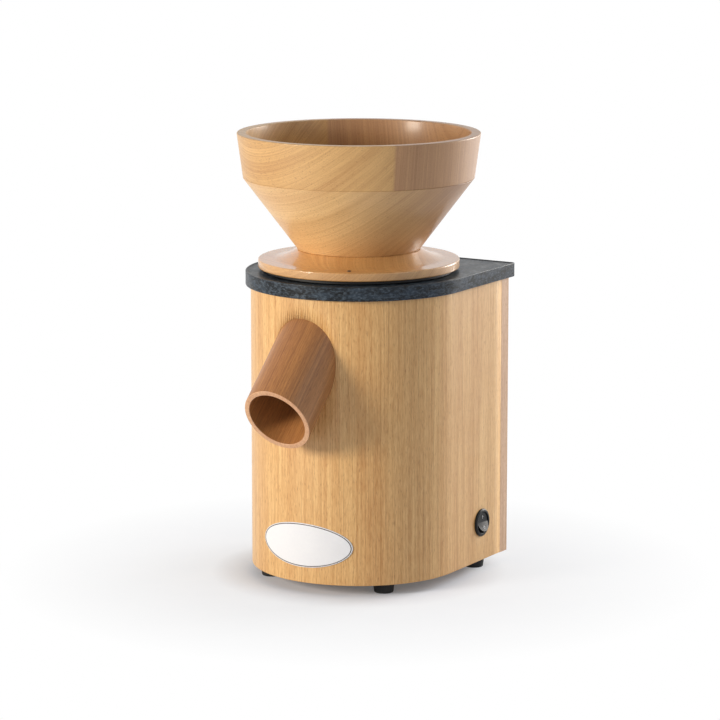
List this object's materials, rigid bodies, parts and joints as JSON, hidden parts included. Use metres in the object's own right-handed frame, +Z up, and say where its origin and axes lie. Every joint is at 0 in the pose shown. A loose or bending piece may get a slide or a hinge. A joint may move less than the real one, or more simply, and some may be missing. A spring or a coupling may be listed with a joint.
{
  "type": "electric grain mill",
  "caption": "Household electric stone grain mill: turned wooden hopper that screws to set the grind, bent wooden body, inclined flour spout, rocker switch.",
  "frame": {"origin": "on the hopper's and shaft's axis, in the plane that the feet stand on", "axes": "+Z up along the shaft, -Y to the front where the spout is, +X to the switch side"},
  "size_m": [0.202, 0.244, 0.3725],
  "materials": {
    "beech": "satin oiled beech",
    "back_board": "satin oiled beech",
    "base_board": "raw plywood",
    "spout_wood": "satin, darker and redder than the body",
    "dark_laminate": "mottled, matt",
    "black_plastic": "matt",
    "switch_black": "semi-gloss",
    "rubber": "matt",
    "badge_white": "semi-gloss, blank",
    "dot_dark": "dark plug",
    "cast_alu": "as cast",
    "steel": "bright",
    "lamination": "stacked sheet",
    "copper_enamel": "enamelled wire",
    "painted_can": "matt paint",
    "grindstone": "rough corundum",
    "holder_plastic": "moulded",
    "felt": "pressed felt",
    "ivory_plastic": "moulded",
    "lead_brown": "soft sheath",
    "lead_blue": "soft sheath"
  },
  "bodies": {
    "root": {"shell": "beech", "back_panel": "back_board", "base_plate": "base_board", "top_plate": "dark_laminate", "neck_ring": "black_plastic", "neck_screws": "steel", "milling_chamber": "cast_alu", "chamber_screws": "steel", "felt_seal": "felt", "guide_pins": "steel", "lift_springs": "steel", "spout": "spout_wood", "motor_can": "painted_can", "lower_end_shield": "cast_alu", "upper_end_shield": "cast_alu", "stator_core": "lamination", "windings": "copper_enamel", "lower_bearing": "steel", "upper_bearing": "steel", "motor_bolts": "steel", "motor_spacers": "steel", "feet": "rubber", "foot_screws": "steel", "back_screws": "steel", "badge": "badge_white", "cord_inlet": "black_plastic", "switch_housing": "switch_black", "switch_terminals": "steel", "capacitor": "cast_alu", "capacitor_clip": "steel", "terminal_block": "ivory_plastic", "switch_lead": "lead_brown", "motor_lead": "lead_blue"},
    "rotor": {"shaft": "steel", "rotor_core": "lamination", "fan": "black_plastic", "stone_carrier": "cast_alu", "drive_pin": "steel", "lower_stone": "grindstone", "shaft_screw": "steel"},
    "upper_stone_lift": {"stone_holder": "holder_plastic", "upper_stone": "grindstone"},
    "hopper": {"hopper_ring": "beech", "hopper_cone": "beech", "collar": "beech", "hopper_sleeve": "black_plastic", "sleeve_screws": "steel", "finger_guard": "steel", "index_dot": "dot_dark"},
    "rocker": {"rocker": "switch_black"}
  },
  "joints": [
    {"name": "shaft_spin", "type": "hinge", "parent": "root", "child": "rotor", "pos_m": [0, 0, 0.12], "axis": [0, 0, 1], "continuous": true},
    {"name": "stone_lift", "type": "slide", "parent": "root", "child": "upper_stone_lift", "axis": [0, 0, 1], "range_m": [-0.00025, 0.0025], "deforming": ["lift_springs"]},
    {"name": "hopper_turn", "type": "hinge", "parent": "upper_stone_lift", "child": "hopper", "pos_m": [0, 0, 0.3], "axis": [0, 0, 1], "range_deg": [-30, 300]},
    {"name": "rocker_tilt", "type": "hinge", "parent": "root", "child": "rocker", "pos_m": [0.089, 0.0507, 0.042], "axis": [0, 1, 0], "range_deg": [0, 24]}
  ],
  "couplings": [
    {"joint": "stone_lift", "follows": "hopper_turn", "m_per_rad": 0.0004774}
  ]
}
